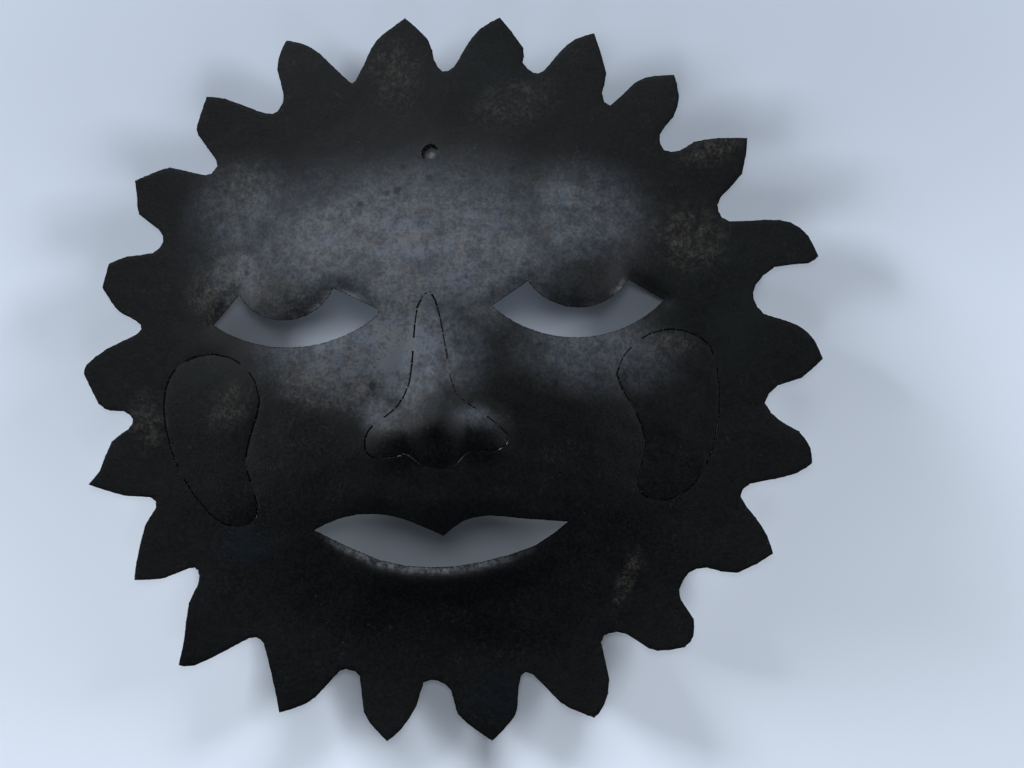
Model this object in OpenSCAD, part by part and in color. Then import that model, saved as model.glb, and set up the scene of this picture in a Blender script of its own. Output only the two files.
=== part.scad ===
// Sun-face wall hanging: one disc of sheet steel, cut into rays with a chisel, domed from behind with
// a hammer, and pierced for the eyes and the mouth. The nose and both cheeks are marked out by broken
// chisel cuts and pushed forward, so each is a panel that stays joined to the sheet at short bridges.
// The wall is the plane Y = 0, the face looks along -Y, and the nail goes in at the origin.

/* [Sheet] */
// Thickness of the steel
sheet_t = 1.2; // [1:0.1:1.6]
// Straight facets that the chisel leaves between two points of a curved cut
facets = 2; // [1:1:3]

/* [Dome] */
// Radius of the foot, where the flat rim turns up into the dome
dome_r = 220; // [216:1:222]
// Height of the crown of the dome above the wall
dome_h = 40; // [34:1:46]
// Share of the dome's section that is crown, and the rest is the hollow curve of its foot
crown_share = 0.7; // [0.68:0.01:0.8]

/* [Eyes] */
// How far each lid stands out of the dome
lid_rise = 13; // [8:1:16]
// Radius of each lid's bulge, seen from the front
lid_r = 46; // [44:1:50]

/* [Nose] */
// How far the tip stands out of the dome
nose_rise = 20; // [14:1:24]
// Radius of the rounded tip
nose_tip_r = 20; // [17:1:22]
// Radius of the ridge where it starts between the eyes
nose_top_r = 8; // [6:1:9]
// Radius of the two wings
nose_wing_r = 17; // [15:1:18]
// How far the wings stand out of the dome
nose_wing_rise = 9; // [6:1:11]

/* [Cheeks] */
// How far each cheek stands out of the dome at its middle
cheek_rise = 8; // [5:1:10]
// Radius of the ball that each cheek follows
cheek_r = 150; // [130:5:180]

/* [Chisel cuts] */
// Width of the broken cuts round the nose and the cheeks
slit_w = 1; // [0.6:0.1:1.4]
// Width of the uncut bridges that break them
bridge_w = 6; // [4:1:8]

/* [Hanging hole] */
// Radius of the half-moon cut
hole_r = 6.5; // [5:0.5:8]
// How far the tongue of the cut is bent back, in degrees
tongue_bend = 22; // [10:1:25]

/* [Hidden] */
$fn = 200;
STEEL = [0.13, 0.135, 0.15];
// Deep enough to cut through the sheet anywhere
THROUGH = 200;

// Places on the sheet are [across, up] from the middle of the rim, seen from the front
HOLE = [-6, 172];
DOME_C = [-6, -8];
// The tongue of the hanging hole is hinged at its lower right, and its free side points this way
HOLE_TURN = 122;
HINGE_SHARE = 0.22;
// How much slimmer the nose's ridge ends than its round tip
RIDGE_STEP = 3;

// Between one ray's tip and the next, going clockwise, the rim is one smooth cut through these points.
// The one blunt ray, at the upper left, has two tips with a straight cut between them.
TIPS = [
    [-21, 277], [52, 274], [124, 259], [184, 224], [238, 173], [289, 80], [289, 1], [277, -79],
    [244, -147], [180, -208], [101, -267], [22, -282], [-59, -278], [-141, -253], [-217, -213],
    [-248, -146], [-280, -71], [-280, 14], [-263, 80], [-257, 98], [-234, 161], [-176, 223], [-113, 264]
];
GAPS = [
    [[-4, 260], [0, 244], [6, 235], [15, 238], [24, 252], [36, 266]],
    [[69, 250], [68, 239], [76, 231], [84, 232], [97, 246], [109, 255]],
    [[132, 228], [128, 213], [134, 203], [154, 220], [169, 224]],
    [[187, 207], [182, 192], [171, 179], [174, 167], [186, 166], [197, 172], [216, 174]],
    [[233, 146], [216, 129], [214, 118], [222, 110], [250, 110], [269, 107], [282, 96]],
    [[281, 75], [255, 73], [240, 60], [238, 49], [245, 38], [258, 33], [272, 27], [283, 16]],
    [[272, -13], [254, -18], [243, -31], [255, -46], [268, -54], [276, -67]],
    [[265, -86], [248, -90], [229, -93], [221, -102], [232, -119], [240, -133]],
    [[216, -161], [193, -156], [179, -159], [171, -172], [173, -182], [181, -195]],
    [[173, -216], [152, -218], [141, -213], [128, -204], [116, -203], [109, -210], [114, -238], [109, -258]],
    [[89, -262], [75, -254], [55, -232], [46, -233], [43, -250], [40, -264]],
    [[11, -274], [-4, -260], [-8, -242], [-18, -234], [-29, -235], [-35, -252], [-48, -270]],
    [[-68, -268], [-76, -255], [-78, -228], [-85, -223], [-93, -223], [-107, -237], [-120, -247]],
    [[-143, -239], [-149, -207], [-153, -196], [-162, -195], [-179, -203], [-205, -214]],
    [[-212, -195], [-207, -166], [-199, -151], [-199, -141], [-206, -139], [-226, -146]],
    [[-246, -133], [-238, -104], [-229, -91], [-233, -83], [-253, -81]],
    [[-271, -61], [-261, -39], [-248, -30], [-244, -22], [-251, -16], [-261, -15], [-270, -9]],
    [[-278, 21], [-261, 33], [-238, 43], [-235, 50], [-243, 56], [-253, 63]],
    [],
    [[-243, 103], [-223, 105], [-215, 113], [-217, 122], [-232, 135], [-233, 146]],
    [[-212, 169], [-202, 169], [-180, 163], [-173, 167], [-171, 174], [-184, 194], [-184, 203]],
    [[-162, 221], [-138, 211], [-126, 208], [-120, 213], [-117, 222], [-121, 242], [-118, 255]],
    [[-101, 261], [-88, 253], [-68, 232], [-61, 231], [-48, 255], [-39, 265]]
];

// Each eye: outer corner, start and end of the lid's edge, inner corner, and how far the lid's edge
// and the lower edge sag below their ends
LEFT_EYE = [[-181, 45], [-158, 69], [-84, 71], [-50, 53], 22, 22];
RIGHT_EYE = [[36.5, 52], [65, 70], [142, 68], [169, 51.5], 21, 26.5];
LEFT_LID = [-121, 86];
RIGHT_LID = [104, 86];

// The mouth's three cuts meet at its two corners and at the notch of the upper lip
MOUTH_LEFT = [-107, -113];
MOUTH_NOTCH = [-8, -121];
MOUTH_RIGHT = [87, -115];
UPPER_LEFT = [[-85, -104], [-60, -102], [-37, -107]];
UPPER_RIGHT = [[8, -110], [27, -107], [49, -110]];
LOWER = [[61, -132], [18, -143], [-19, -145], [-58, -138]];

// Outlines of the nose and the cheeks, and which of their points are left uncut as bridges
NOSE = [
    [-10, 65], [-20, 53], [-24, 25], [-28, -3], [-38, -21], [-53, -32], [-62, -40], [-64, -53], [-55, -60],
    [-31, -58], [-21, -67], [3, -70], [15, -57], [38, -57], [44, -46], [25, -28], [7, -14], [2, 8], [-3, 45]
];
NOSE_BRIDGES = [2, 5, 9, 10, 11, 12, 15, 17];
LEFT_CHEEK = [
    [-180, 25], [-206, 18], [-218, -1], [-219, -30], [-209, -66], [-187, -99], [-167, -109], [-151, -101],
    [-153, -79], [-158, -60], [-152, -37], [-144, -12], [-154, 14]
];
LEFT_CHEEK_BRIDGES = [1, 4, 6, 8, 9, 12];
RIGHT_CHEEK = [
    [171, 29], [145, 20], [129, -4], [141, -30], [150, -59], [141, -90], [155, -102], [175, -99], [194, -81],
    [207, -43], [207, 3], [195, 22]
];
RIGHT_CHEEK_BRIDGES = [1, 3, 5, 6, 8, 10];
LEFT_CHEEK_C = [-186, -32];
RIGHT_CHEEK_C = [172, -28];
NOSE_TOP = [-11, 58];
NOSE_TIP = [-10, -38];
NOSE_WINGS = [[-43, -46], [25, -43]];

// The dome's section is a crown arc and a foot arc that meet in one slope
slope = 2 * atan(dome_h / dome_r);
arc_sum = dome_r / sin(slope);
crown_r = crown_share * arc_sum;
foot_r = arc_sum - crown_r;
turn_r = crown_r * sin(slope);

// Point at fraction u from b to c of a smooth curve through a, b, c and d
function smooth(a, b, c, d, u) =
    (2 * b + (c - a) * u + (2 * a - 5 * b + 4 * c - d) * u * u + (3 * b - a - 3 * c + d) * u * u * u) / 2;

// Facets of a smooth cut through the points from the first up to, but not at, the last
function cut(p) = [
    for (i = [0 : len(p) - 2], k = [0 : facets - 1])
        smooth(p[max(i - 1, 0)], p[i], p[i + 1], p[min(i + 2, len(p) - 1)], k / facets)
];

// Facets of a closed smooth cut through the points
function closed_cut(p) = [
    for (i = [0 : len(p) - 1], k = [0 : facets - 1])
        let (n = len(p))
        smooth(p[(i + n - 1) % n], p[i], p[(i + 1) % n], p[(i + 2) % n], k / facets)
];

// A closed outline moved inwards by d, for outlines that run anticlockwise
function inset(p, d) = [
    for (i = [0 : len(p) - 1])
        let (n = len(p), along = p[(i + 1) % n] - p[(i + n - 1) % n])
        p[i] + d * [-along.y, along.x] / norm(along)
];

// Height of the dome's back above the wall at a place on the sheet
function dome_height(p) =
    let (r = norm(p - DOME_C))
    r < turn_r ? dome_h - crown_r + sqrt(crown_r * crown_r - r * r)
               : foot_r - sqrt(foot_r * foot_r - (dome_r - r) * (dome_r - r));

// Direction square to the dome at a place on the sheet
function dome_normal(p) =
    let (d = p - DOME_C, r = norm(d), lean = r < turn_r ? asin(r / crown_r) : asin((dome_r - r) / foot_r))
    [d.x / r * sin(lean), d.y / r * sin(lean), cos(lean)];

// Stands the flat drawing up on the wall, with the nail hole at the origin
module stand() {
    rotate([90, 0, 0])
        translate([-HOLE.x, -HOLE.y, 0])
            children();
}

// Cuts right through the sheet along a flat outline
module punch() {
    translate([0, 0, -THROUGH / 2])
        linear_extrude(THROUGH)
            children();
}

// Half section of everything between the wall and a dome grown by g
module dome_section(g) {
    crown_y = dome_h - crown_r;
    foot_x = -crown_y * dome_r / (foot_r - crown_y);
    intersection() {
        polygon([[0, 0], [foot_x, 0], [dome_r, foot_r], [0, foot_r]]);
        translate([0, crown_y])
            circle(crown_r + g);
    }
    difference() {
        polygon([[foot_x, 0], [dome_r, 0], [dome_r, foot_r]]);
        translate([dome_r, foot_r])
            circle(foot_r - g);
    }
}

// The space behind the sheet's back, under the dome
module dome_space() {
    translate([DOME_C.x, DOME_C.y, 0])
        rotate_extrude()
            dome_section(0);
}

// The dome itself, one sheet thick
module dome_shell() {
    translate([DOME_C.x, DOME_C.y, 0])
        rotate_extrude()
            difference() {
                dome_section(sheet_t);
                dome_section(0);
            }
}

// A ball of radius r, grown by g, that stands out of the dome by rise, square to it, at place p
module ball(p, r, rise, g) {
    middle = [p.x, p.y, dome_height(p)] - (r - rise) * dome_normal(p);
    intersection() {
        translate(middle)
            sphere(r + g);
        translate([p.x, p.y, 0])
            cylinder(r = 2 * r, h = THROUGH);
    }
}

// The dome with a form pushed out of it from behind; children: the form grown by sheet_t, and by 0
module pushed_out() {
    difference() {
        dome_shell();
        children(1);
    }
    difference() {
        children(0);
        children(1);
        dome_space();
    }
}

module lids(g) {
    lid_ball_r = (lid_r * lid_r + lid_rise * lid_rise) / (2 * lid_rise);
    for (p = [LEFT_LID, RIGHT_LID])
        ball(p, lid_ball_r, lid_rise, g);
}

module nose_form(g) {
    ridge_tip_r = nose_tip_r - RIDGE_STEP;
    top = [NOSE_TOP.x, NOSE_TOP.y, dome_height(NOSE_TOP) - 1 - nose_top_r];
    tip = [NOSE_TIP.x, NOSE_TIP.y, dome_height(NOSE_TIP) + nose_rise - nose_tip_r];
    run = tip - top;
    translate(top)
        rotate([0, acos(run.z / norm(run)), atan2(run.y, run.x)])
            cylinder(h = norm(run), r1 = nose_top_r + g, r2 = ridge_tip_r + g);
    translate(tip)
        sphere(nose_tip_r + g);
    for (w = NOSE_WINGS)
        ball(w, nose_wing_r, nose_wing_rise, g);
}

module eye_outline(e) {
    chord = norm(e[3] - e[0]) / 2;
    low_r = (chord * chord + e[5] * e[5]) / (2 * e[5]);
    low_c = (e[0] + e[3]) / 2 + (low_r - e[5]) * [0, 1];
    half_lid = norm(e[2] - e[1]) / 2;
    lid_cut_r = (half_lid * half_lid + e[4] * e[4]) / (2 * e[4]);
    lid_c = (e[1] + e[2]) / 2 + (lid_cut_r - e[4]) * [0, 1];
    difference() {
        intersection() {
            translate(low_c)
                circle(low_r);
            polygon([e[0], e[0] - [0, low_r], e[3] - [0, low_r], e[3], e[2], e[1]]);
        }
        translate(lid_c)
            circle(lid_cut_r);
    }
}

module mouth_outline() {
    polygon(concat(
        cut(concat([MOUTH_LEFT], UPPER_LEFT, [MOUTH_NOTCH])),
        cut(concat([MOUTH_NOTCH], UPPER_RIGHT, [MOUTH_RIGHT])),
        cut(concat([MOUTH_RIGHT], LOWER, [MOUTH_LEFT]))
    ));
}

module rim_outline() {
    n = len(TIPS);
    polygon([for (i = [0 : n - 1]) each cut(concat([TIPS[i]], GAPS[i], [TIPS[(i + 1) % n]]))]);
}

// A panel inside its broken cut, joined to the sheet only at the bridges
module panel_outline(p, bridges) {
    polygon(inset(closed_cut(p), slit_w));
    intersection() {
        polygon(closed_cut(p));
        for (i = bridges)
            translate(p[i])
                circle(d = bridge_w);
    }
}

module hanging_hole() {
    intersection() {
        circle(hole_r);
        translate([-HINGE_SHARE * hole_r, -hole_r])
            square(2 * hole_r);
    }
}

// The tongue of the hanging hole, bent back on its hinge
module tongue() {
    hinge = HINGE_SHARE * hole_r;
    translate([HOLE.x, HOLE.y, dome_height(HOLE)])
        rotate([0, 0, HOLE_TURN])
            translate([-hinge, 0, 0])
                rotate([0, tongue_bend, 0])
                    translate([hinge, 0, 0])
                        linear_extrude(sheet_t)
                            intersection() {
                                circle(hole_r - slit_w / 2);
                                translate([-hinge - sheet_t, -hole_r])
                                    square(2 * hole_r);
                            }
}

module sun_sheet() {
    color(STEEL)
        stand() {
            difference() {
                union() {
                    linear_extrude(sheet_t)
                        difference() {
                            rim_outline();
                            translate(DOME_C)
                                circle(dome_r);
                        }
                    pushed_out() {
                        lids(sheet_t);
                        lids(0);
                    }
                }
                punch() {
                    eye_outline(LEFT_EYE);
                    eye_outline(RIGHT_EYE);
                    mouth_outline();
                    polygon(closed_cut(NOSE));
                    polygon(closed_cut(LEFT_CHEEK));
                    polygon(closed_cut(RIGHT_CHEEK));
                    translate(HOLE)
                        rotate(HOLE_TURN)
                            hanging_hole();
                }
            }
            tongue();
        }
}

module nose_panel() {
    color(STEEL)
        stand()
            intersection() {
                pushed_out() {
                    nose_form(sheet_t);
                    nose_form(0);
                }
                punch()
                    panel_outline(NOSE, NOSE_BRIDGES);
            }
}

module cheek_panel(outline, bridges, middle) {
    color(STEEL)
        stand()
            intersection() {
                pushed_out() {
                    ball(middle, cheek_r, cheek_rise, sheet_t);
                    ball(middle, cheek_r, cheek_rise, 0);
                }
                punch()
                    panel_outline(outline, bridges);
            }
}

module left_cheek_panel() {
    cheek_panel(LEFT_CHEEK, LEFT_CHEEK_BRIDGES, LEFT_CHEEK_C);
}

module right_cheek_panel() {
    cheek_panel(RIGHT_CHEEK, RIGHT_CHEEK_BRIDGES, RIGHT_CHEEK_C);
}

sun_sheet();
nose_panel();
left_cheek_panel();
right_cheek_panel();
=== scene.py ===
import math

import bmesh
import bpy
import numpy as np
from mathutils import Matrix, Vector, geometry, kdtree


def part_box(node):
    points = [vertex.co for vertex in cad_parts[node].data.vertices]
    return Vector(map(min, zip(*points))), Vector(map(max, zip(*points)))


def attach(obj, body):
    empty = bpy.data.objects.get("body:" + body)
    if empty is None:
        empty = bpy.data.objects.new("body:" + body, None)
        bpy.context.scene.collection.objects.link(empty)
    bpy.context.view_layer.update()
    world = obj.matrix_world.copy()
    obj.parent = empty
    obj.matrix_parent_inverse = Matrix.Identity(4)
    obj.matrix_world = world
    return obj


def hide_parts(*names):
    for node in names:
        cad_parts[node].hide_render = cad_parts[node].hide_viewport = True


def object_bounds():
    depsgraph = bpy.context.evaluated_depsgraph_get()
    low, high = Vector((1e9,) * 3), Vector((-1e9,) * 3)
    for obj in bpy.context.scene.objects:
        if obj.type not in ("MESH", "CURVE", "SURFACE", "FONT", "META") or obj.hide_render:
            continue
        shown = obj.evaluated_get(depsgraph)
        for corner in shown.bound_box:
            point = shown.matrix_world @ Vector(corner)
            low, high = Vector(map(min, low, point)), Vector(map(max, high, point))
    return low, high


# A sun face cut from one sheet of steel and hammered into relief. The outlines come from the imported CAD
# nodes, and this script gives them their real surface: chisel marks, relief, steel and scale.
# A place is [across, up] in metres, and places below are given in mm from the middle of the rim.

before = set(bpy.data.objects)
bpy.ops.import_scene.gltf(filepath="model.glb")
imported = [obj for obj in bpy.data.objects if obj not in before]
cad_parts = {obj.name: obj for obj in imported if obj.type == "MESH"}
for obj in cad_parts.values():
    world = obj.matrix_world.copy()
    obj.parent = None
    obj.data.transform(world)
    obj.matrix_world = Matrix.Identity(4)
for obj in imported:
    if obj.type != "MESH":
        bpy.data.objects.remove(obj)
CAD_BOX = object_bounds()
CHISEL_SEED, RELIEF_SEED = 7, 11
rng = np.random.default_rng(CHISEL_SEED)

MM = 0.001
RIM_MIDDLE = np.array((0.006, -0.172))


def place(across, up):
    return RIM_MIDDLE + MM * np.array((across, up))


# ---- Sizes ----
THICK = 1.2 * MM
STEEPEST = 1.7          # most that the sheet's upright thickness grows where it slopes
GRID = 2.5 * MM
CHISEL_STEP = 1.7 * MM
EDGE_ROUGH = 0.12 * MM
NICK = 0.3 * MM
RIM_ROLL = 0.2 * MM
INSET = 0.8 * MM
DARK_EDGE = 0.45 * MM
TOUCH = 0.05 * MM
FINE_STEP = 0.5 * MM

DOME_C = place(-6, -8)
DOME_R = 220 * MM
DOME_H = 40 * MM
CROWN_SHARE = 0.7

# ---- Outlines, read from the CAD nodes ----
WELD = 1e-6
WALL_TILT = 0.02
STRAIGHT = 0.03 * MM
FEWEST_POINTS = 20


def cut_loops(name):
    """Closed outlines where a node's front meets the walls of its cuts, as lists of places."""
    bm = bmesh.new()
    bm.from_mesh(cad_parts[name].data)
    bmesh.ops.remove_doubles(bm, verts=bm.verts, dist=WELD)
    bm.normal_update()
    beside = {}
    for e in bm.edges:
        tilts = sorted(abs(f.normal.y) < WALL_TILT for f in e.link_faces)
        if tilts == [False, True] and min(f.normal.y for f in e.link_faces) < -WALL_TILT:
            a, b = e.verts
            beside.setdefault(a, []).append(b)
            beside.setdefault(b, []).append(a)
    loops, seen = [], set()
    for start in beside:
        if start in seen:
            continue
        seen.add(start)
        loop, ahead = [start], start
        while ahead:
            ahead = next((v for v in beside[ahead] if v not in seen), None)
            if ahead:
                seen.add(ahead)
                loop.append(ahead)
        if len(loop) > FEWEST_POINTS and start in beside[loop[-1]]:
            loops.append(corners(np.array([(v.co.x, v.co.z) for v in loop])))
    bm.free()
    return loops


def corners(loop):
    """The loop without the points that lie on its straight runs, turned anticlockwise."""
    while True:
        before, after = np.roll(loop, 1, 0), np.roll(loop, -1, 0)
        chord = after - before
        off = np.abs(cross(loop - before, chord)) / np.maximum(np.hypot(*chord.T), WELD)
        drop = off < STRAIGHT
        drop[1::2] = False
        if not drop.any():
            drop = off < STRAIGHT
            drop[0::2] = False
            if not drop.any():
                break
        loop = loop[~drop]
    return loop if area(loop) > 0 else loop[::-1]


def cross(a, b):
    return a[..., 0] * b[..., 1] - a[..., 1] * b[..., 0]


def area(loop):
    return cross(loop, np.roll(loop, -1, 0)).sum() / 2


def inside(loop, p):
    """Which of the places p lie inside a loop."""
    lo, hi = loop.min(0), loop.max(0)
    near = np.flatnonzero(((p > lo) & (p < hi)).all(1))
    x, y = p[near].T
    odd = np.zeros(len(near), bool)
    for a, b in zip(loop, np.roll(loop, -1, 0)):
        if a[1] != b[1]:
            crosses = (a[1] > y) != (b[1] > y)
            odd ^= crosses & (x < (b[0] - a[0]) * (y - a[1]) / (b[1] - a[1]) + a[0])
    out = np.zeros(len(p), bool)
    out[near[odd]] = True
    return out


def distance(loop, p, closed=True):
    """How far each of the places p is from a line of points."""
    ends = np.roll(loop, -1, 0) if closed else loop[1:]
    best = np.full(len(p), np.inf)
    for a, b in zip(loop, ends):
        run = b - a
        u = np.clip((p - a) @ run / max(run @ run, WELD ** 2), 0, 1)
        best = np.minimum(best, np.hypot(*(p - a - u[:, None] * run).T))
    return best


def middle(loop):
    return (loop.min(0) + loop.max(0)) / 2


def under_and_over(loop):
    """The two stretches of an anticlockwise loop between its left and right ends: below, then above."""
    loop = np.roll(loop, -loop[:, 0].argmin(), 0)
    right = loop[:, 0].argmax()
    return loop[:right + 1], np.vstack((loop[right:], loop[:1]))


PANELS = ("nose_panel", "left_cheek_panel", "right_cheek_panel")
EYES = ("left_eye", "right_eye")


def sheet_outlines():
    """The rim, both eyes, the mouth and the outline of each panel."""
    loops = sorted(cut_loops("sun_sheet"), key=lambda l: -area(l))
    found = {"rim": loops[0]}
    for panel in PANELS:
        lo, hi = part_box(panel)
        spot = np.array(((lo.x + hi.x) / 2, (lo.z + hi.z) / 2))
        nearest = min(loops[1:], key=lambda l: np.hypot(*(middle(l) - spot)))
        found[panel] = nearest
        loops = [l for l in loops if l is not nearest]
    openings = sorted(loops[1:4], key=lambda l: middle(l)[1])
    found["mouth"] = openings[0]
    found["left_eye"], found["right_eye"] = sorted(openings[1:], key=lambda l: middle(l)[0])
    return found


OUTLINES = sheet_outlines()


# ---- Chisel cuts ----
def side(loop):
    """Unit vectors to the right of the way along each point of a loop."""
    along = np.roll(loop, -1, 0) - np.roll(loop, 1, 0)
    along /= np.maximum(np.hypot(*along.T), WELD)[:, None]
    return np.stack((along[:, 1], -along[:, 0]), 1)


def stepped(loop, step):
    """The loop with points added along its straight runs, and which of them are its old corners."""
    out, corner = [], []
    for a, b in zip(loop, np.roll(loop, -1, 0)):
        n = max(1, round(np.hypot(*(b - a)) / step))
        out += [a + (b - a) * k / n for k in range(n)]
        corner += [k == 0 for k in range(n)]
    return np.array(out), np.array(corner)


def chiselled(loop):
    """The loop as the chisel leaves it: uneven facets, nicked where one stroke ends and the next begins."""
    points, corner = stepped(loop, CHISEL_STEP)
    size = np.where(corner, NICK, EDGE_ROUGH)
    return points + side(points) * (rng.uniform(-1, 1, len(points)) * size)[:, None]


STROKE = 10 * MM
STROKE_DRIFT = 1.5 * MM
NECK = 0.7 * MM
BRIDGE_REACH = 1.7 * MM
CUT_CLOSES = 0.98       # share of a cut's half width by which its sides close at the back
# Under the nose's tip the line is only scored, so no stroke goes through there
SCORED = (place(-44, -80), place(28, -48))
# Half width of a stroke along its length: the chisel's corners dig in at both ends
LOOK_AHEAD = 0.2 * MM
STROKE_SHAPE = ((0, 0.1), (0.05, 0.85), (0.11, 0.64), (0.5, 0.56), (0.88, 0.62), (0.95, 0.85), (1, 0.1))


def walk(loop, at):
    """Places at distances along a closed loop."""
    ends = np.vstack((loop, loop[:1]))
    run = np.concatenate(((0,), np.cumsum(np.hypot(*np.diff(ends, axis=0).T))))
    at = np.asarray(at) % run[-1]
    return np.stack((np.interp(at, run, ends[:, 0]), np.interp(at, run, ends[:, 1])), 1)


def length(loop):
    return np.hypot(*(np.roll(loop, -1, 0) - loop).T).sum()


def strokes(panel):
    """The open strokes of the broken cut round a panel; it has none where the panel's bridges are."""
    loop = OUTLINES[panel]
    verts = np.array([(v.co.x, v.co.z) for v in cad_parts[panel].data.vertices])
    held = verts[distance(loop, verts) < TOUCH]
    n = int(length(loop) / FINE_STEP)
    spots = walk(loop, np.arange(n) * FINE_STEP)
    bridged = np.array([np.hypot(*(held - s).T).min() < BRIDGE_REACH for s in spots])
    first = int(np.argmax(bridged))
    out, begin = [], None
    for k in range(first, first + n + 1):
        if not bridged[k % n] and begin is None:
            begin = k
        elif bridged[k % n] and begin is not None:
            out += run_of_strokes(loop, begin * FINE_STEP, k * FINE_STEP)
            begin = None
    return out


def run_of_strokes(loop, begin, end):
    """The strokes along one open stretch: each one's outline and the middle line between its sides."""
    count = max(1, round((end - begin) / STROKE))
    cuts = np.linspace(begin, end, count + 1)
    cuts[1:-1] += rng.uniform(-STROKE_DRIFT, STROKE_DRIFT, count - 1)
    out = []
    for a, b in zip(cuts, cuts[1:]):
        b -= NECK * rng.uniform(0.2, 1.6)
        share, half = np.array(STROKE_SHAPE).T
        at = a + (b - a) * share
        line = walk(loop, at)
        if ((line[0] > SCORED[0]) & (line[-1] < SCORED[1])).all():
            continue
        ahead = walk(loop, at + LOOK_AHEAD) - line
        ahead /= np.hypot(*ahead.T)[:, None]
        across = np.stack((ahead[:, 1], -ahead[:, 0]), 1) * (half * MM * rng.uniform(0.8, 1.2))[:, None]
        out.append(there_and_back(line + across, line - across, line))
    return out


def there_and_back(one_side, other_side, line):
    """A cut's closed outline, and its middle line once for each side."""
    return np.vstack((one_side, other_side[::-1])), np.vstack((line, line[::-1]))


# The hanging hole is a half-moon cut whose tongue is still hinged at its lower right
HOLE_R = 6.5 * MM
HOLE_CUT = 2.1 * MM
HOLE_FROM, HOLE_TO = math.radians(28), math.radians(216)
HOLE_POINTS = 14
HOLE_WOBBLE = 0.3 * MM
HOLE_ENDS = 0.15        # how blunt the cut's ends are, as a turn in radians; and its least width in mm
TONGUE_BEND = math.tan(math.radians(24))
TONGUE_WAY = np.array((math.cos(math.radians(122)), math.sin(math.radians(122))))


def hole_cut():
    """The half-moon cut's outline, and the middle line that its two sides share."""
    turn = np.linspace(HOLE_FROM, HOLE_TO, HOLE_POINTS)
    rim = np.stack((np.cos(turn), np.sin(turn)), 1)
    wobble = rng.uniform(-1, 1, (HOLE_POINTS, 1)) * HOLE_WOBBLE
    taper = HOLE_CUT * np.sqrt(np.sin(np.linspace(HOLE_ENDS, math.pi - HOLE_ENDS, HOLE_POINTS)))[:, None]
    outer, inner = rim * (HOLE_R + wobble), rim * (HOLE_R + wobble - taper - HOLE_ENDS * MM)
    return there_and_back(outer, inner, (outer + inner) / 2)


# Scratched lines that mark the nostrils, and bright chips in the black scale
NOSTRIL_LINES = (((-38, -58), (-35, -57), (-31, -58.5), (-27, -62), (-23, -66)),
                 ((2, -70), (7, -64), (11, -60), (15, -57.5)))
CHIPS = ((-109, -165), (-105, -171), (-98, -179), (-112, -196), (-90, -201), (-87, -196), (-101, -185),
         (-3, 179.5), (237, -143), (240, -139), (5, 127), (16, 93), (-12, 89), (-9, -22), (176, -62),
         (-15, -38))
NOSTRIL_HALF = 0.45 * MM


def band(points, half):
    """A closed outline round a line of places, pointed at both ends."""
    line = np.array([place(*p) for p in points])
    along = np.gradient(line, axis=0)
    along /= np.hypot(*along.T)[:, None]
    swell = half * np.sin(np.linspace(0.12, math.pi - 0.12, len(line)))[:, None]
    across = np.stack((along[:, 1], -along[:, 0]), 1) * swell
    return np.vstack((line + across, (line - across)[::-1]))


def chip(spot):
    turn = np.sort(rng.uniform(0, 2 * math.pi, 5)) + np.arange(5) * 0.02
    reach = rng.uniform(0.35, 0.8, 5)[:, None] * MM
    return place(*spot) + np.stack((np.cos(turn) * 0.8, np.sin(turn)), 1) * reach


# ---- Relief ----
SLOPE = 2 * math.atan(DOME_H / DOME_R)
ARC_SUM = DOME_R / math.sin(SLOPE)
CROWN_R = CROWN_SHARE * ARC_SUM
FOOT_R = ARC_SUM - CROWN_R
TURN_R = CROWN_R * math.sin(SLOPE)


def bell(u):
    """A smooth hump that is 1 at u = 0 and 0 from u = 1 on."""
    return np.clip(1 - u * u, 0, 1) ** 2


def fade(u):
    """A smooth step from 0 to 1 as u goes from 0 to 1."""
    u = np.clip(u, 0, 1)
    return u * u * (3 - 2 * u)


def dome(p):
    r = np.hypot(*(p - DOME_C).T)
    crown = DOME_H - CROWN_R + np.sqrt(np.maximum(CROWN_R ** 2 - r * r, 0))
    foot = FOOT_R - np.sqrt(np.maximum(FOOT_R ** 2 - np.clip(DOME_R - r, 0, None) ** 2, 0))
    return np.where(r < TURN_R, crown, foot)


LIDS = (place(-121, 84), place(104, 84))
LID_RISE = 8 * MM
LID_REACH = (66 * MM, 46 * MM, 80 * MM)     # across, down and up from the lid's middle


def lids(p):
    """Each lid is full at its lower edge and runs out smoothly into the brow."""
    out = np.zeros(len(p))
    across, down, up = LID_REACH
    for c in LIDS:
        d = p - c
        u = np.hypot(d[:, 0] / across, d[:, 1] / np.where(d[:, 1] < 0, down, up))
        soft = 1.35 + 1.1 * fade((d[:, 1] + 25 * MM) / (60 * MM)) + 0.8 * fade(np.abs(d[:, 0]) / (40 * MM))
        out += LID_RISE * np.clip(1 - u * u, 0, 1) ** soft
    return out


NOSE_TOP, NOSE_TIP = place(-11, 60), place(-10, -36)
NOSE_RISE = 13 * MM
NOSE_BLEND = 2.0


def nose(p):
    """The ridge, the tip and both wings, which run softly into each other and into the sheet."""
    run = NOSE_TIP - NOSE_TOP
    u = np.clip((p - NOSE_TOP) @ run / (run @ run), 0, 1)
    off = np.hypot(*(p - NOSE_TOP - u[:, None] * run).T)
    ridge = (2 * MM + (NOSE_RISE - 2 * MM) * u ** 1.2) * bell(off / (MM * (17 + 15 * u)))
    tip = NOSE_RISE * bell(np.hypot(*(p - NOSE_TIP).T) / (33 * MM))
    parts = [ridge, tip]
    for c in (place(-42, -44), place(25, -42)):
        parts.append(6 * MM * bell(np.hypot(*(p - c).T) / (27 * MM)))
    return sum(h ** NOSE_BLEND for h in parts) ** (1 / NOSE_BLEND)


CHEEK_RISE = 3 * MM
CHEEK_EDGE = 34 * MM


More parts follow.
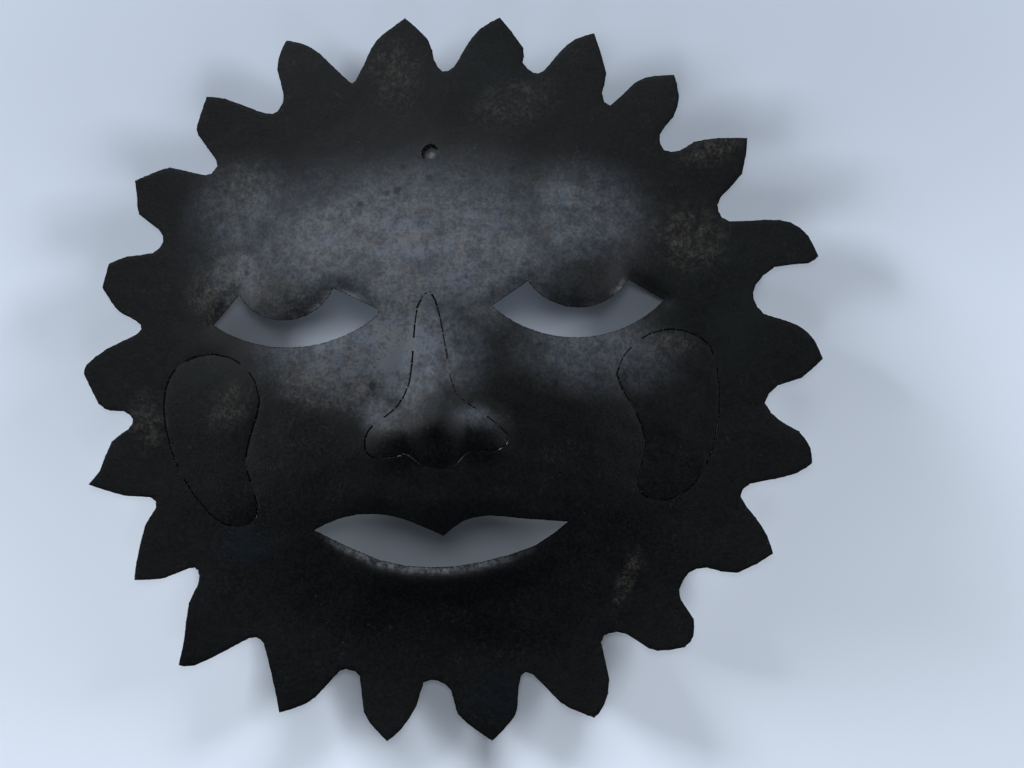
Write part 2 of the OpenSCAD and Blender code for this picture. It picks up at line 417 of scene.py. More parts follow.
def cheeks(p):
    out = np.zeros(len(p))
    for name in PANELS[1:]:
        loop = OUTLINES[name]
        pick = np.flatnonzero(inside(loop, p))
        u = np.clip(distance(loop, p[pick]) / CHEEK_EDGE, 0, 1)
        out[pick] = CHEEK_RISE * (1 - (1 - u) ** 2)
    return out


MUZZLE_C, MUZZLE_R, MUZZLE_RISE = place(-8, -66), 100 * MM, 4 * MM
# Each lip in mm: how far it stands out, how far that is from its edge, its spread, how far its edge
# turns in, and that turn's spread
LOWER_LIP = (4.0, 11, 10, 2.2, 6)
UPPER_LIP = (1.2, 14, 14, 1.4, 7)
# The turned-in edge of each lid and of the sheet under each eye: depth and spread in mm
LID_EDGE, UNDER_EYE_EDGE = (3.8, 8), (1.2, 5)
EYE_BLEND = 24 * MM


def hump(d, spread):
    return np.exp(-(d / spread) ** 2)


def lip(d, shape):
    out, at, spread, turned_in, edge_spread = MM * np.array(shape)
    return out * hump(d - at, spread) - turned_in * hump(d, edge_spread)


def turned_edge(d, shape):
    depth, spread = MM * np.array(shape)
    return depth * hump(d, spread)


def face(p):
    """Muzzle, lips and the turned edges of the eyes and the mouth."""
    out = MUZZLE_RISE * bell(np.hypot(*(p - MUZZLE_C).T) / MUZZLE_R)
    mouth = OUTLINES["mouth"]
    to_lower, to_upper = (distance(edge, p, closed=False) for edge in under_and_over(mouth))
    d = np.minimum(to_lower, to_upper)
    along = (p[:, 0] - mouth[:, 0].min()) / np.ptp(mouth[:, 0])
    width = fade(along / 0.25) * fade((1 - along) / 0.3)
    out += width * np.where(to_lower < to_upper, lip(d, LOWER_LIP), lip(d, UPPER_LIP))
    for eye in EYES:
        to_lower, to_lid = (distance(edge, p, closed=False) for edge in under_and_over(OUTLINES[eye]))
        lid_side = fade(0.5 + (to_lower - to_lid) / EYE_BLEND)
        d = np.minimum(to_lower, to_lid)
        out -= lid_side * turned_edge(d, LID_EDGE) + (1 - lid_side) * turned_edge(d, UNDER_EYE_EDGE)
    return out


def ripples(draw, p, wave, size, count):
    """A sum of plane waves in random directions: the slow unevenness of hammered sheet."""
    out = np.zeros(len(p))
    for _ in range(count):
        turn, phase = draw.uniform(0, 2 * math.pi, 2)
        pitch = 2 * math.pi / (wave * draw.uniform(0.7, 1.5))
        out += np.sin(pitch * (p @ (math.cos(turn), math.sin(turn))) + phase)
    return out * size / math.sqrt(count)


RAY_FOOT_R, RAY_LENGTH, RAY_TIP_R = 222 * MM, 60 * MM, 262 * MM
RAY_TURN = 0.137        # half the turn between two rays, in radians
TIP_APART = 0.1
RAY_LIFT, RAY_TWIST = (0.3 * MM, 4.5 * MM), 14 * MM


def rays(draw, p):
    """How far the rays are bent forward, each its own way."""
    rim = OUTLINES["rim"]
    r = np.hypot(*(rim - RIM_MIDDLE).T)
    turn = np.arctan2(*(rim - RIM_MIDDLE).T[::-1])
    tips = []
    for k in range(len(rim)):
        apart = np.abs((turn - turn[k] + math.pi) % (2 * math.pi) - math.pi)
        if r[k] > RAY_TIP_R and r[k] == r[apart < TIP_APART].max():
            tips.append(turn[k])
    d = p - RIM_MIDDLE
    out_r, out_turn = np.hypot(*d.T), np.arctan2(d[:, 1], d[:, 0])
    u = np.clip((out_r - RAY_FOOT_R) / RAY_LENGTH, 0, 1.1)
    out = np.zeros(len(p))
    for tip in tips:
        off = (out_turn - tip + math.pi) % (2 * math.pi) - math.pi
        own = fade(1.35 - np.abs(off) / RAY_TURN)
        lift, twist = draw.uniform(*RAY_LIFT), draw.uniform(-RAY_TWIST, RAY_TWIST)
        out += own * u * u * np.clip(lift + twist * off, 0, None)
    return out


def height(p):
    """Height of the sheet's back above the wall; its random waves start from the same seed each time."""
    draw = np.random.default_rng(RELIEF_SEED)
    r = np.hypot(*(p - DOME_C).T)
    uneven = ripples(draw, p, 70 * MM, 0.55 * MM, 14) + ripples(draw, p, 24 * MM, 0.12 * MM, 18)
    h = dome(p) + lids(p) + nose(p) + cheeks(p) + face(p) * fade((DOME_R - r) / (40 * MM)) + rays(draw, p)
    h += uneven * (0.35 + 0.65 * fade((DOME_R + 10 * MM - r) / (50 * MM)))
    tongue = np.hypot(*p.T) < HOLE_R
    h[tongue] -= TONGUE_BEND * np.clip(p[tongue] @ TONGUE_WAY + 0.3 * HOLE_R, 0, None)
    return np.maximum(h, 0)


# Where the lids' edges are scuffed bright and carry a painted rim highlight: middle and reach of each
# stretch
LID_SCUFFS_AND_HIGHLIGHTS = ((place(-93, 57), 17 * MM), (place(131, 66), 12 * MM), (place(-70, 61), 14 * MM))
LID_SCUFF_AND_HIGHLIGHT, LID_SCUFF_AND_HIGHLIGHT_WIDTH = 1.7, 3.0 * MM
LIP_SCUFF_AND_HIGHLIGHT_AT, LIP_SCUFF_AND_HIGHLIGHT_WIDTH = 1.8 * MM, 2.6 * MM


def scuff_and_rim_highlight(p):
    """Where the scale is scuffed bright, with a painted rim highlight: along the lower lip and on stretches
    of the lids' edges.
    """
    mouth = OUTLINES["mouth"]
    to_lower, to_upper = (distance(edge, p, closed=False) for edge in under_and_over(mouth))
    along = (p[:, 0] - mouth[:, 0].min()) / np.ptp(mouth[:, 0])
    on_lip = hump(to_lower - LIP_SCUFF_AND_HIGHLIGHT_AT, LIP_SCUFF_AND_HIGHLIGHT_WIDTH) * fade(along / 0.15) * fade((0.95 - along) / 0.45)
    out = np.where(to_lower < to_upper, on_lip, 0)
    for eye in EYES:
        on_edge = LID_SCUFF_AND_HIGHLIGHT * hump(distance(OUTLINES[eye], p), LID_SCUFF_AND_HIGHLIGHT_WIDTH)
        for spot, reach in LID_SCUFFS_AND_HIGHLIGHTS:
            out = np.maximum(out, on_edge * bell(np.hypot(*(p - spot).T) / reach))
    return out


# ---- The sheet's mesh ----
STEEL_KIND, CUT_KIND, BARE_KIND = 0, 1, 2       # places of the materials in every piece's slots
SHARP = math.radians(52)


def tree_of(points):
    """A search tree of places."""
    tree = kdtree.KDTree(len(points))
    for k, p in enumerate(points):
        tree.insert((p[0], p[1], 0), k)
    tree.balance()
    return tree


def flat_plan():
    """Every cut laid out flat and filled with triangles.

    Gives the places, the triangles, each one's owner and kind, and how far each place shifts at the back.
    """
    cuts = {name: chiselled(OUTLINES[name]) for name in ("rim", *EYES, "mouth")}
    both = [s for panel in PANELS for s in strokes(panel)]
    slits = [outline for outline, _ in both]
    both.append(hole_cut())
    cuts["hole"] = both[-1][0]
    marks = [band(line, NOSTRIL_HALF) for line in NOSTRIL_LINES] + [chip(spot) for spot in CHIPS]
    seams = {panel: stepped(OUTLINES[panel], CHISEL_STEP)[0] for panel in PANELS}
    points, edges = [], []
    for loop in [*cuts.values(), *slits, *marks, *seams.values()]:
        n = len(points)
        points += list(loop)
        edges += [(n + k, n + (k + 1) % len(loop)) for k in range(len(loop))]
    for name, loop in cuts.items():
        inwards = -INSET if name == "rim" else INSET
        points += list(loop + side(loop) * inwards)
    tree = tree_of(points)
    lo, hi = cuts["rim"].min(0), cuts["rim"].max(0)
    rows = np.arange(lo[1], hi[1], GRID * math.sqrt(0.75))
    columns = np.arange(lo[0], hi[0], GRID)
    grid = np.array([(x + GRID / 2 * (k % 2), z) for k, z in enumerate(rows) for x in columns])
    grid += rng.normal(0, 0.05 * GRID, grid.shape)
    grid = grid[inside(OUTLINES["rim"], grid)]
    points += [g for g in grid if tree.find((g[0], g[1], 0))[2] > 0.6 * GRID]
    flat, _, faces, _, _, _ = geometry.delaunay_2d_cdt([Vector(p) for p in points], edges, [], 0, 1e-8)
    flat, faces = np.array([tuple(v) for v in flat]), np.array(faces)
    spots = flat[faces].mean(1)
    solid = inside(cuts["rim"], spots)
    for name in (*EYES, "mouth", "hole"):
        solid &= ~inside(cuts[name], spots)
    for slit in slits:
        solid &= ~inside(slit, spots)
    kinds = np.where(edge_band(cuts.values(), spots), CUT_KIND, STEEL_KIND)
    for mark in marks:
        kinds[inside(mark, spots)] = BARE_KIND
    owner = np.zeros(len(faces), int)
    for k, panel in enumerate(PANELS):
        owner[inside(OUTLINES[panel], spots)] = k + 1
    owner[~solid] = -1
    return flat, faces, owner, kinds, closed_up(flat, both)


def edge_band(loops, spots):
    """Which of the spots lie so close to a cut that the shears have left them dark."""
    out = np.zeros(len(spots), bool)
    for loop in loops:
        tree = tree_of(loop)
        near = np.array([k for k, p in enumerate(spots) if tree.find((p[0], p[1], 0))[2] < CHISEL_STEP])
        out[near[distance(loop, spots[near]) < DARK_EDGE]] = True
    return out


def closed_up(flat, strokes_cut):
    """How far each place moves at the sheet's back: the chisel leaves a cut almost closed there."""
    outline = np.vstack([o for o, _ in strokes_cut])
    line = np.vstack([m for _, m in strokes_cut])
    tree = tree_of(outline)
    shift = np.zeros_like(flat)
    for k, p in enumerate(flat):
        _, nearest, far = tree.find((p[0], p[1], 0))
        if far < TOUCH:
            shift[k] = CUT_CLOSES * (line[nearest] - outline[nearest])
    return shift


def front_gap(flat, back):
    """Thickness measured along the wall's normal, so that the sheet stays one thickness where it slopes."""
    rise = [height(flat + d) for d in ((FINE_STEP, 0), (0, FINE_STEP))]
    slope = np.hypot(*[(h - back) / FINE_STEP for h in rise])
    return THICK * np.minimum(np.sqrt(1 + slope ** 2), STEEPEST)


def steel_piece(name, flat, faces, kinds, back, front, shift):
    """One closed solid of sheet: front, back and the walls of its cuts."""
    used = np.unique(faces)
    index = np.full(len(flat), -1)
    index[used] = np.arange(len(used))
    tri = index[faces]
    directed = {(a, b) for t in tri for a, b in ((t[0], t[1]), (t[1], t[2]), (t[2], t[0]))}
    border = [(a, b) for a, b in directed if (b, a) not in directed]
    edge_verts = sorted({v for e in border for v in e})
    mid = {v: 2 * len(used) + k for k, v in enumerate(edge_verts)}
    n = len(used)
    x, z = flat[used].T
    y_back, y_front = -back[used], -front[used]
    y_front[edge_verts] += RIM_ROLL
    y_back[edge_verts] -= RIM_ROLL / 2
    x_back, z_back = (flat + shift)[used].T
    verts = [*zip(x, y_front, z), *zip(x_back, y_back, z_back)]
    share = rng.uniform(0.3, 0.6, len(edge_verts))
    verts += [(x[v], y_front[v] * (1 - s) + y_back[v] * s, z[v]) for v, s in zip(edge_verts, share)]
    out = [tuple(t) for t in tri] + [(t[2] + n, t[1] + n, t[0] + n) for t in tri]
    kinds = kinds.tolist() + [STEEL_KIND] * len(tri)
    for a, b in sorted(border):
        out += [(b, a, mid[a], mid[b]), (mid[b], mid[a], a + n, b + n)]
        kinds += [CUT_KIND, CUT_KIND]
    mesh = bpy.data.meshes.new(name)
    mesh.from_pydata([tuple(map(float, v)) for v in verts], [], [tuple(map(int, f)) for f in out])
    for material in (STEEL, CUT_EDGE, BARE_STEEL):
        mesh.materials.append(material)
    mesh.polygons.foreach_set("material_index", kinds)
    # The scuffed edges with their painted rim highlights, kept on the points for the steel's colour
    scuffed_and_highlit = scuff_and_rim_highlight(np.array([(v[0], v[2]) for v in verts]))
    mesh.attributes.new("scuff_and_rim_highlight", "FLOAT", "POINT").data.foreach_set("value", scuffed_and_highlit.astype(np.float32))
    mesh.shade_smooth()
    mesh.set_sharp_from_angle(angle=SHARP)
    mesh.update()
    piece = bpy.data.objects.new(name, mesh)
    bpy.context.scene.collection.objects.link(piece)
    return piece


# ---- Materials ----
class Shader:
    """A material whose textures are laid out in the object's own metres."""

    def __init__(self, name):
        self.material = bpy.data.materials.new(name)
        self.material.use_nodes = True
        self.tree = self.material.node_tree
        self.bsdf = self.tree.nodes["Principled BSDF"]
        self.where = self.add("ShaderNodeTexCoord").outputs["Object"]

    def add(self, kind, **settings):
        node = self.tree.nodes.new(kind)
        for key, value in settings.items():
            setattr(node, key, value)
        return node

    def put(self, socket, value):
        if isinstance(value, bpy.types.NodeSocket):
            self.tree.links.new(value, socket)
        else:
            socket.default_value = value

    def noise(self, size, detail=3, rough=0.55, where=None):
        node = self.add("ShaderNodeTexNoise")
        self.put(node.inputs["Vector"], where or self.where)
        self.put(node.inputs["Scale"], 1 / size)
        self.put(node.inputs["Detail"], detail)
        self.put(node.inputs["Roughness"], rough)
        return node.outputs["Fac"]

    def attribute(self, name):
        return self.add("ShaderNodeAttribute", attribute_name=name).outputs["Fac"]

    def math(self, operation, a, b=0.0):
        node = self.add("ShaderNodeMath", operation=operation)
        self.put(node.inputs[0], a)
        self.put(node.inputs[1], b)
        return node.outputs[0]

    def span(self, value, low, high, to_low=0.0, to_high=1.0):
        node = self.add("ShaderNodeMapRange", interpolation_type="SMOOTHSTEP")
        for socket, v in zip(node.inputs[:5], (value, low, high, to_low, to_high)):
            self.put(socket, v)
        return node.outputs[0]

    def mix(self, share, a, b):
        node = self.add("ShaderNodeMix", data_type="RGBA")
        self.put(node.inputs["Factor"], share)
        self.put(node.inputs[6], a)
        self.put(node.inputs[7], b)
        return node.outputs[2]

    def patch(self, spot, reach, turn=0.0):
        """1 in the middle of an oval patch and 0 outside it; reach is its half length and half width."""
        x, z = place(*spot)
        node = self.add("ShaderNodeMapping", vector_type="TEXTURE")
        self.put(node.inputs["Vector"], self.where)
        node.inputs["Location"].default_value = (x, 0, z)
        node.inputs["Rotation"].default_value = (0, -math.radians(turn), 0)
        node.inputs["Scale"].default_value = (reach[0] * MM, 1, reach[1] * MM)
        far = self.add("ShaderNodeVectorMath", operation="LENGTH")
        self.put(far.inputs[0], node.outputs[0])
        return self.span(far.outputs["Value"], 1.0, 0.15)

    def streaks(self, turn, along, across):
        """Long thin noise, for scratches and runs of oil."""
        node = self.add("ShaderNodeMapping", vector_type="TEXTURE")
        self.put(node.inputs["Vector"], self.where)
        node.inputs["Rotation"].default_value = (0, -math.radians(turn), 0)
        node.inputs["Scale"].default_value = (along, along, across)
        return self.noise(1, 2, 0.5, node.outputs[0])

    def bump(self, strength, depth, value, under=None):
        node = self.add("ShaderNodeBump")
        self.put(node.inputs["Strength"], strength)
        self.put(node.inputs["Distance"], depth)
        self.put(node.inputs["Height"], value)
        if under:
            self.put(node.inputs["Normal"], under)
        return node.outputs[0]


SCALE_BLACK = (0.0026, 0.0029, 0.0030, 1)
SCALE_GREY = (0.0095, 0.0105, 0.0110, 1)
# Scuffed grey metal, blue or tan at random; in the sheen patches it is also painted sheen, the bluish
# reflection of the light from above
SCUFF_AND_SHEEN_BLUE = (0.190, 0.214, 0.254, 1)
SCUFF_AND_SHEEN_TAN = (0.215, 0.222, 0.236, 1)
DUST = (0.215, 0.190, 0.162, 1)
PALE_SPECK = (0.20, 0.20, 0.20, 1)
SCUFFED_EDGE_HIGHLIGHT = (0.40, 0.42, 0.44, 1)
SCRATCH = (0.16, 0.155, 0.15, 1)
EDGE_BLACK = (0.002, 0.002, 0.002, 1)
EDGE_RUST = (0.010, 0.006, 0.005, 1)
EDGE_GLINT = (0.022, 0.020, 0.019, 1)
BARE_DARK = (0.020, 0.019, 0.018, 1)
BARE_BRIGHT = (0.19, 0.185, 0.17, 1)
PAPER = (0.79, 0.865, 0.97, 1)
# Painted shade: the paper board's colour at its top, darker where less light falls
SHADED_PAPER_TOP = (0.44, 0.49, 0.565, 1)
GREEN_OIL = (0.007, 0.014, 0.012, 1)
BLUE_OIL = (0.006, 0.014, 0.024, 1)
DARK_SPOT = (0.008, 0.009, 0.011, 1)

# Oval patches: middle, half length and half width in mm, turn in degrees, strength
# The scuff and sheen patches: grey scuffed metal, and painted sheen where light from above is reflected, on
# the forehead, the nose and its wings, under the eyes and on the hole's tongue
SCUFF_AND_SHEEN_PATCHES = (
    ((-20, 98), (205, 92), 0, 1.0), ((-75, 18), (96, 54), -12, 0.85), ((112, 16), (88, 46), -8, 0.7),
    ((-26, 20), (74, 62), 0, 1.3), ((100, 118), (82, 56), 0, 0.95), ((-150, 130), (62, 56), 30, 0.6),
    ((-152, 84), (40, 40), 0, 0.8), ((-50, -26), (30, 22), -30, 0.8), ((-5, 170), (5, 4), 0, 0.9),
    ((20, -31), (26, 13), -20, 0.6))
# Painted shade within and below the scuff and sheen patches: under the nose, on the nose tip's shaded side,
# on the lids, between the eyes and on the forehead's right
PAINTED_SHADE_PATCHES = (
    ((4, -15), (20, 13), -50, 0.8), ((-20, -58), (80, 26), 0, 1.0), ((75, 128), (15, 50), 0, 0.25),
    ((104, 70), (50, 26), 0, 0.6), ((-110, 66), (34, 16), 0, 0.45), ((-8, -19), (20, 14), 0, 0.65),
    ((-10, 84), (34, 16), 0, 0.3))
DUST_PATCHES = (
    ((-84, -4), (66, 26), -8, 1.0), ((-170, 72), (40, 32), 30, 0.9), ((-156, 150), (42, 28), 30, 0.7),
    ((-72, 105), (85, 42), 12, 0.4), ((191, 98), (42, 38), 0, 0.6), ((-31, 234), (30, 40), 0, 0.5),
    ((60, 208), (48, 26), 10, 0.45), ((-233, -24), (20, 32), 0, 0.6), ((-30, 64), (36, 30), 0, 0.5),
    ((130, -163), (34, 9), 66, 0.9), ((214, 168), (40, 18), 20, 0.6), ((-168, -15), (34, 22), 30, 0.35),
    ((-120, 60), (60, 30), 0, 0.4), ((-40, -28), (30, 20), 0, 0.5), ((168, 18), (34, 16), 0, 0.6))
GREEN_PATCHES = (
    ((210, 45), (75, 80), 0, 0.8), ((60, 235), (60, 45), 0, 0.6), ((126, -232), (40, 45), 0, 0.6),
    ((-190, 20), (50, 40), 0, 0.4))
BLUE_PATCHES = (((-162, -123), (30, 22), 0, 0.9), ((30, -248), (40, 30), 0, 0.6))


def patches(shader, spots):
    total = 0.0
    for spot, reach, turn, strength in spots:
        part = shader.math("MULTIPLY", shader.patch(spot, reach, turn), strength)
        total = shader.math("MAXIMUM", part, total)
    return total


def blackened_steel():
    """Black mill scale, scuffed thin to grey metal in places, with dust, oil, stains and scratches, and
    painted light: a sheen on the forehead, the nose and under the eyes, highlights along the lids' and the
    lower lip's edges, and shade under the nose and on the lids.
    """
    s = Shader("blackened_steel")
    cloud = s.noise(45 * MM, 4, 0.6)
    mottle = s.noise(9 * MM, 4, 0.65)
    grain = s.noise(2.6 * MM, 4, 0.8)
    fine = s.noise(1.0 * MM, 2, 0.7)
    # Painted shade: takes the sheen away under the nose, on the nose tip, on the lids and between the eyes
    painted_shade = s.math("MULTIPLY", patches(s, PAINTED_SHADE_PATCHES), s.span(mottle, 0.25, 0.5, 0.6, 1.0))
    ragged = s.math("ADD", s.math("MULTIPLY", cloud, 0.9), s.math("MULTIPLY", mottle, 0.5))
    # Painted sheen as well as scuffed metal: these patches lay the highlight on the forehead, the nose and
    # under the eyes
    scuff_and_sheen_area = patches(s, SCUFF_AND_SHEEN_PATCHES)
    scuffed_and_highlit = s.math("MULTIPLY", scuff_and_sheen_area, s.span(ragged, 0.45, 0.95, 0.55, 1.2))
    scuffed_and_highlit = s.math("MULTIPLY", scuffed_and_highlit, s.math("SUBTRACT", 1.0, painted_shade))
    # Painted rim highlights along the lower lip and the lids' lower edges, which are also scuffed
    edge_scuff_and_glint = s.math("MULTIPLY", s.attribute("scuff_and_rim_highlight"), s.span(s.noise(5 * MM, 3, 0.7), 0.36, 0.66, 0.15, 0.9))
    scuffed_and_highlit = s.math("MAXIMUM", scuffed_and_highlit, edge_scuff_and_glint)
    scuffed_and_highlit = s.math("MULTIPLY", scuffed_and_highlit, s.span(mottle, 0.3, 0.65, 0.72, 1.05))
    scuffed_and_highlit = s.math("MULTIPLY", scuffed_and_highlit, s.span(grain, 0.3, 0.7, 0.5, 1.25))
    colour = s.mix(s.span(grain, 0.38, 0.66), SCALE_BLACK, SCALE_GREY)
    tone = s.span(s.noise(14 * MM, 4, 0.7), 0.38, 0.62)
    # The sheen patches take the scuffed metal's colour, which paints the highlight into the steel's colour
    colour = s.mix(scuffed_and_highlit, colour, s.mix(tone, SCUFF_AND_SHEEN_BLUE, SCUFF_AND_SHEEN_TAN))
    green = s.math("MULTIPLY", patches(s, GREEN_PATCHES), s.span(cloud, 0.3, 0.6))
    colour = s.mix(green, colour, GREEN_OIL)
    colour = s.mix(s.math("MULTIPLY", patches(s, BLUE_PATCHES), 0.8), colour, BLUE_OIL)
    film = s.span(mottle, 0.34, 0.70, 0.12, 1.0)
    dust = s.math("MULTIPLY", patches(s, DUST_PATCHES), film)
    dust = s.math("MULTIPLY", dust, s.span(grain, 0.40, 0.66, 0.10, 1.0))
    thin_dust = s.math("MULTIPLY", s.span(s.noise(20 * MM, 5, 0.7), 0.52, 0.75), s.span(grain, 0.5, 0.7))
    dust = s.math("MAXIMUM", dust, s.math("MULTIPLY", thin_dust, 0.25))
    colour = s.mix(dust, colour, DUST)
    speck = s.math("MULTIPLY", s.span(fine, 0.64, 0.78), s.span(scuffed_and_highlit, 0.0, 0.8, 0.04, 0.5))
    colour = s.mix(speck, colour, PALE_SPECK)
    # The rim highlights are painted bright into the colour here
    colour = s.mix(s.math("MULTIPLY", edge_scuff_and_glint, 0.6), colour, SCUFFED_EDGE_HIGHLIGHT)
    cells = s.add("ShaderNodeTexVoronoi")
    s.put(cells.inputs["Vector"], s.where)
    s.put(cells.inputs["Scale"], 1 / (17 * MM))
    stain = s.math("ADD", cells.outputs["Distance"], s.math("MULTIPLY", mottle, 0.35))
    rare = s.span(s.noise(60 * MM, 1), 0.5, 0.62)
    stain = s.math("MULTIPLY", s.span(stain, 0.4, 0.26), rare)
    colour = s.mix(s.math("MULTIPLY", stain, 0.75), colour, DARK_SPOT)
    scratch = s.math("MAXIMUM", s.span(s.streaks(63, 40 * MM, 0.5 * MM), 0.735, 0.78),
                     s.span(s.streaks(-38, 28 * MM, 0.45 * MM), 0.745, 0.79))
    colour = s.mix(s.math("MULTIPLY", scratch, 0.3), colour, SCRATCH)
    s.put(s.bsdf.inputs["Base Color"], colour)
    # The painted sheen is also made partly metallic, so that it reflects the lamps more strongly
    bare_and_sheen_metal = s.math("MULTIPLY", s.math("SUBTRACT", scuffed_and_highlit, s.math("MULTIPLY", stain, 0.5)), 0.5)
    s.put(s.bsdf.inputs["Metallic"], s.math("MULTIPLY", bare_and_sheen_metal, s.math("SUBTRACT", 1.0, dust)))
    rough = s.math("ADD", s.span(cloud, 0.3, 0.7, 0.38, 0.46), s.span(mottle, 0.3, 0.7, 0.0, 0.08))
    rough = s.math("ADD", rough, s.span(grain, 0.3, 0.7, 0.0, 0.10))
    s.put(s.bsdf.inputs["Roughness"], s.math("ADD", rough, s.math("MULTIPLY", dust, 0.25)))
    s.bsdf.inputs["Specular IOR Level"].default_value = 0.35
    skin = s.bump(0.7, 0.5 * MM, grain)
    skin = s.bump(0.3, 0.7 * MM, mottle, skin)
    s.put(s.bsdf.inputs["Normal"], s.bump(0.3, 0.1 * MM, s.math("MULTIPLY", scratch, -1.0), skin))
    return s.material


def cut_edge_steel():
    s = Shader("cut_edge_steel")
    rust = s.noise(3 * MM, 4, 0.7)
    colour = s.mix(s.span(rust, 0.35, 0.65), EDGE_BLACK, EDGE_RUST)
    glint = s.span(s.noise(6 * MM, 2), 0.64, 0.74)
    colour = s.mix(glint, colour, EDGE_GLINT)
    s.put(s.bsdf.inputs["Base Color"], colour)
    s.put(s.bsdf.inputs["Roughness"], s.span(glint, 0.0, 1.0, 0.75, 0.5))
    s.bsdf.inputs["Specular IOR Level"].default_value = 0.12
    s.put(s.bsdf.inputs["Normal"], s.bump(0.6, 0.2 * MM, s.noise(1.2 * MM, 3, 0.6)))
    return s.material


def bare_steel():
    s = Shader("scratched_bare_steel")
    grain = s.noise(1.2 * MM, 3, 0.6)
    colour = s.mix(s.span(grain, 0.35, 0.65), BARE_DARK, BARE_BRIGHT)
    s.put(s.bsdf.inputs["Base Color"], colour)
    s.put(s.bsdf.inputs["Roughness"], s.span(grain, 0.3, 0.7, 0.42, 0.6))
    s.put(s.bsdf.inputs["Normal"], s.bump(0.5, 0.15 * MM, grain))
    return s.material


def stage_material(name, top_colour, one_sided):
    """Matt paper with painted shade: darker towards its top, where less light falls; a one-sided one never
    hides the object's back from behind.
    """
    s = Shader(name)
    height = s.add("ShaderNodeSeparateXYZ")
    s.put(height.inputs[0], s.where)
    lo, hi = CAD_BOX
    # Painted shade: the colour darkens from the bottom of the board up to its top
    s.put(s.bsdf.inputs["Base Color"], s.mix(s.span(height.outputs["Z"], lo.z, hi.z), PAPER, top_colour))
    s.bsdf.inputs["Roughness"].default_value = 0.9
    s.bsdf.inputs["Specular IOR Level"].default_value = 0.1
    if one_sided:
        clear = s.add("ShaderNodeBsdfTransparent")
        either = s.add("ShaderNodeMixShader")
        s.put(either.inputs[0], s.add("ShaderNodeNewGeometry").outputs["Backfacing"])
        s.put(either.inputs[1], s.bsdf.outputs[0])
        s.put(either.inputs[2], clear.outputs[0])
        s.put(s.tree.nodes["Material Output"].inputs["Surface"], either.outputs[0])
    return s.material


STEEL, CUT_EDGE, BARE_STEEL = blackened_steel(), cut_edge_steel(), bare_steel()


# ---- Build the four pieces ----
def build():
    flat, faces, owner, kinds, shift = flat_plan()
    back = height(flat)
    front = back + front_gap(flat, back)
    names = {"sun_sheet": "hammered_sun_sheet", "nose_panel": "hammered_nose",
             "left_cheek_panel": "hammered_left_cheek", "right_cheek_panel": "hammered_right_cheek"}
    pieces = []
    for k, node in enumerate(("sun_sheet", *PANELS)):
        mine = owner == k
        piece = steel_piece(names[node], flat, faces[mine], kinds[mine], back, front, shift)
        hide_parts(node)
        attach(piece, "root")
        pieces.append(piece)
    return pieces


# ---- Stage, light and camera ----
WALL_GAP = 5 * MM
WALL_OVER = 320 * MM
FLOOR_DROP = 110 * MM
FLOOR_REACH = 3


def plane(name, corners_at, material):
    mesh = bpy.data.meshes.new(name)
    mesh.from_pydata(corners_at, [], [(0, 1, 2, 3)])
    mesh.materials.append(material)
    thing = bpy.data.objects.new(name, mesh)
    bpy.context.scene.collection.objects.link(thing)
    return thing


def stage():
    """A paper board close behind the face, and the floor that the board stands on."""
    lo, hi = CAD_BOX
    y, floor_z, top = hi.y + WALL_GAP, lo.z - FLOOR_DROP, hi.z + WALL_OVER
    left, right = lo.x - WALL_OVER, hi.x + 1.3 * WALL_OVER
    wall_at = [(left, y, floor_z), (right, y, floor_z), (right, y, top), (left, y, top)]
    wall = plane("paper_wall", wall_at, stage_material("paper_wall", SHADED_PAPER_TOP, True))
    wall.visible_shadow = False
    near, far = -FLOOR_REACH, FLOOR_REACH
    floor_at = [(near, near, floor_z), (far, near, floor_z), (far, far, floor_z), (near, far, floor_z)]
    floor = plane("paper_floor", floor_at, stage_material("paper_floor", PAPER, False))
    floor.visible_glossy = False
    floor.visible_diffuse = False
    floor.visible_shadow = False
    return [wall], [floor]


MIDDLE = (CAD_BOX[0] + CAD_BOX[1]) / 2


def lamp(name, at, size, watts, tint, lit):
    """A soft box aimed at the face. Its light falls only on the objects in lit."""
    light = bpy.data.lights.new(name, "AREA")
    light.shape = "RECTANGLE"
    light.size, light.size_y = size
    light.energy = watts
    light.color = tint
    thing = bpy.data.objects.new(name, light)
    thing.location = at
    thing.rotation_euler = (MIDDLE - Vector(at)).to_track_quat("-Z", "Y").to_euler()
    thing.visible_camera = False
    bpy.context.scene.collection.objects.link(thing)
    only = bpy.data.collections.new("lit_by_" + name)
    for receiver in lit:
        only.objects.link(receiver)
    thing.light_linking.receiver_collection = only


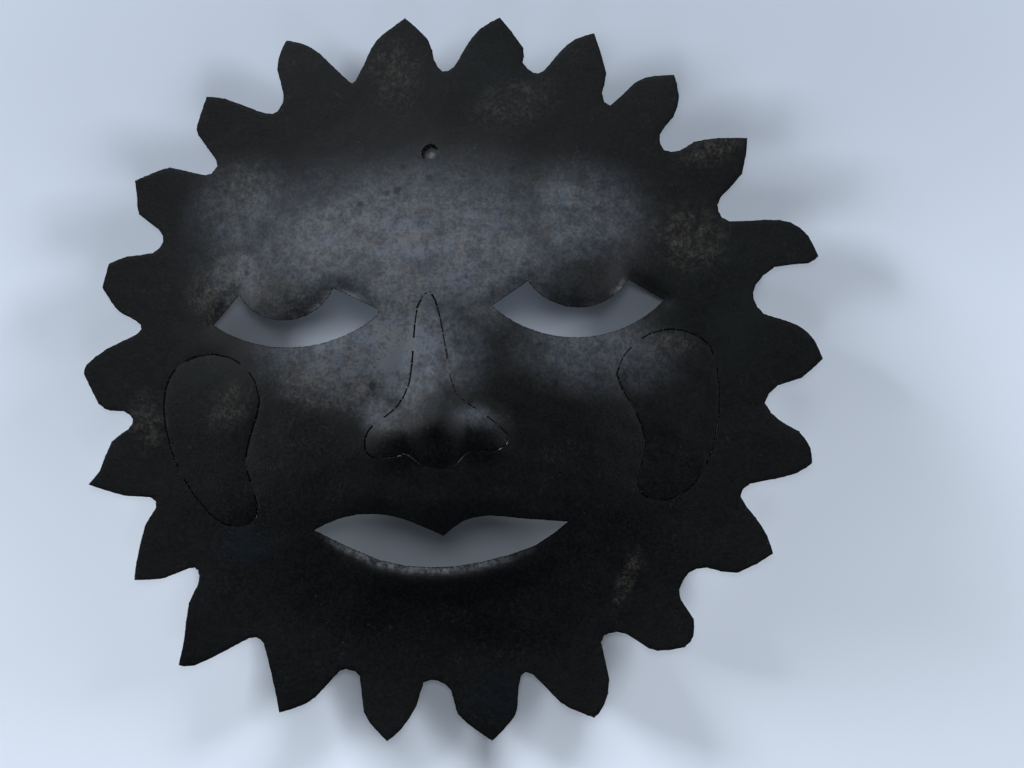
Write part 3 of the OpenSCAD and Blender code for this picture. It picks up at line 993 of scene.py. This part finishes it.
def lights(steel, wall, floor):
    lamp("key_over", (-0.15, -0.62, 0.82), (1.3, 0.5), 4, (0.90, 0.95, 1.0), steel)
    lamp("front_glow", (-0.30, -1.15, 0.42), (1.0, 0.75), 3.5, (0.82, 0.90, 1.0), steel)
    lamp("left_side", (-1.9, -0.50, 0.1), (0.6, 1.6), 11, (0.93, 0.96, 1.0), steel)
    lamp("right_side", (2.0, -0.50, -0.1), (0.6, 1.6), 11, (0.93, 0.96, 1.0), steel)
    lamp("back_fill", (-0.9, 1.5, 0.7), (2.0, 1.6), 70, (0.95, 0.97, 1.0), steel)
    lamp("left_wall_wash", (-2.1, -0.22, 0.8), (0.14, 1.1), 285, (0.93, 0.96, 1.0), wall)
    lamp("right_wall_wash", (2.2, -0.22, 0.8), (0.14, 1.1), 235, (0.93, 0.96, 1.0), wall)
    lamp("wall_low_wash", (0.05, -0.30, -1.75), (0.9, 0.4), 11, (0.93, 0.96, 1.0), wall)
    lamp("wall_fill", (0, -2.3, 0.85), (1.6, 1.2), 7.2, (0.93, 0.96, 1.0), wall)
    lamp("floor_soft", (0, 0, 2.6), (3.0, 3.0), 120, (0.93, 0.96, 1.0), floor)
    world = bpy.data.worlds.new("studio")
    bpy.context.scene.world = world
    world.use_nodes = True
    tree = world.node_tree
    dim = tree.nodes["Background"]
    dim.inputs["Color"].default_value = (0.75, 0.82, 0.92, 1)
    dim.inputs["Strength"].default_value = 0.03
    seen = tree.nodes.new("ShaderNodeBackground")
    seen.inputs["Color"].default_value = (0.60, 0.68, 0.80, 1)
    either = tree.nodes.new("ShaderNodeMixShader")
    path = tree.nodes.new("ShaderNodeLightPath")
    tree.links.new(path.outputs["Is Camera Ray"], either.inputs[0])
    tree.links.new(dim.outputs[0], either.inputs[1])
    tree.links.new(seen.outputs[0], either.inputs[2])
    tree.links.new(either.outputs[0], tree.nodes["World Output"].inputs["Surface"])


LENS = 85
FRAME_WIDTH = 0.7895
ROLL = 2.5


def camera():
    data = bpy.data.cameras.new("camera")
    data.lens = LENS
    data.sensor_width = 36
    thing = bpy.data.objects.new("camera", data)
    aim = place(49, -8)
    away = FRAME_WIDTH / 2 / (data.sensor_width / 2 / LENS)
    thing.location = (aim[0], -away, aim[1])
    thing.rotation_euler = (math.radians(90), math.radians(ROLL), 0)
    bpy.context.scene.collection.objects.link(thing)
    bpy.context.scene.camera = thing


lights(build(), *stage())
camera()
bpy.context.scene.view_settings.view_transform = "Standard"
